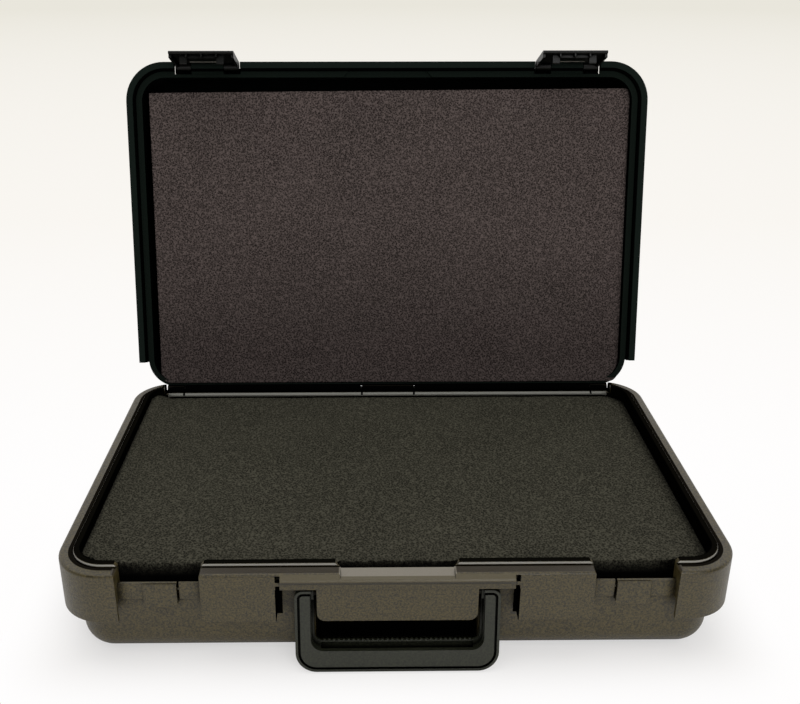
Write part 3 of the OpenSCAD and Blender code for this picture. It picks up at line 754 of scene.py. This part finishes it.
# %% Base pad
SQUEEZE_FROM_MM, SQUEEZE_WIDTH_MM = 15, 13
SQUEEZE_DEPTH_MM = 14
SQUEEZED_UP_MM = 5.5

low, high = block_limits(nodes["base_foam"], Matrix.Identity(4))
front_edge = (low[0], high[0], low[1], high[2])
base_pad = foam_pad("base_foam_pad", low, high, face_up=True, foot_r=16 * MM, front_r=2 * MM,
                    back_r=12 * MM, fray_mm=0.9)
for vert in base_pad.data.vertices:
    beside = (low[0] + SQUEEZE_FROM_MM * MM - vert.co.x) / (SQUEEZE_WIDTH_MM * MM)
    squeezed = min(max(beside, 0.0), 1.0)
    at_face = max(0.0, 1 - (high[2] - vert.co.z) / (SQUEEZE_DEPTH_MM * MM))
    vert.co.z += SQUEEZED_UP_MM * MM * squeezed * squeezed * (3 - 2 * squeezed) * at_face
finish_pad(base_pad, "base_foam", "base", base_foam_finish, Matrix.Identity(4))

# %% [markdown]
# ## Lid pad
#
# The pad in the lid is built in the closed case, where it lies level, and then turned open
# about the hinge. It was fitted by hand too: it doesn't fill the lid evenly, its front was
# cut a little askew, and its weight makes it sag forward at the hinge.

# %% Lid pad
GAP_LEFT_MM, LONGER_FRONT_MM, LONGER_BACK_MM = 1.0, 0.9, 2.0
SKEW_MM, SKEW_DEPTH_MM = 3.2, 20
SAG_MM, SAG_LENGTH_MM, SAG_DEPTH_MM = 4.5, 22, 12

pivot = Vector(HINGE_LINE)
opening = (Matrix.Translation(pivot) @ Matrix.Rotation(-LID_OPENED, 4, "X")
           @ Matrix.Translation(-pivot))
low, high = block_limits(nodes["lid_foam"], opening.inverted())
low[0] += GAP_LEFT_MM * MM
low[1] -= LONGER_FRONT_MM * MM
high[1] += LONGER_BACK_MM * MM
print("lid pad closed, mm:", [round(v / MM, 1) for v in (*low, *high)])
lid_pad = foam_pad("lid_foam_pad", low, high, face_up=False, foot_r=10 * MM, front_r=1 * MM,
                   back_r=9 * MM, fray_mm=0.12)
wide = high[0] - low[0]
for vert in lid_pad.data.vertices:
    x, y, z = vert.co
    front = max(0.0, 1 - (y - low[1]) / (SKEW_DEPTH_MM * MM))
    vert.co.y += SKEW_MM * MM * (high[0] - x) / wide * front
    hinge_side = max(0.0, 1 - (high[1] - y) / (SAG_LENGTH_MM * MM))
    at_face = max(0.0, 1 - (z - low[2]) / (SAG_DEPTH_MM * MM))
    vert.co.z -= SAG_MM * MM * hinge_side ** 2 * at_face
finish_pad(lid_pad, "lid_foam", "lid", lid_foam_finish, opening)

# %% [markdown]
# ## Torn fibres
#
# Where the base foam was torn, thin strands of its cell walls stand out from the front.
# Hair could be grown there, but fifteen hundred thin spikes, each with three sides, are
# plain mesh and export as they are. A fixed seed gives the same strands in every run.

# %% Torn fibres on the front edge of the base pad
FIBRES = 1500
SEED = 4
ENDS_FREE_MM = 2
ROOT_BACK_MM, ROOT_DOWN_MM = (-0.2, 1.6), (0.0, 6)
LONG_MM = (1.0, 4.0)
THICK_MM = (0.1, 0.22)

left, right, front, top = front_edge
rng = np.random.default_rng(SEED)
points, faces = [], []
for _ in range(FIBRES):
    root = Vector((rng.uniform(left + ENDS_FREE_MM * MM, right - ENDS_FREE_MM * MM),
                   front + rng.uniform(*ROOT_BACK_MM) * MM,
                   top - rng.uniform(*ROOT_DOWN_MM) * MM))
    long = rng.uniform(*LONG_MM) * MM
    way = Vector((rng.normal(0, 0.5), -rng.uniform(0.2, 1), rng.normal(-0.2, 0.5)))
    tip = root + long * way
    across = Vector(rng.normal(0, 1, 3)).normalized() * rng.uniform(*THICK_MM) * MM
    other = (tip - root).cross(across).normalized() * across.length
    first = len(points)
    points += [root + across, root - across, root + other, tip]
    faces += [(first, first + 1, first + 2), (first, first + 3, first + 1),
              (first + 1, first + 3, first + 2), (first + 2, first + 3, first)]
mesh = bpy.data.meshes.new("torn_fibres")
mesh.from_pydata(points, [], faces)
fibres = bpy.data.objects.new("torn_fibres", mesh)
bpy.context.scene.collection.objects.link(fibres)
mesh.materials.append(base_foam_finish)
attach(fibres, "base")
print("fibres:", FIBRES)
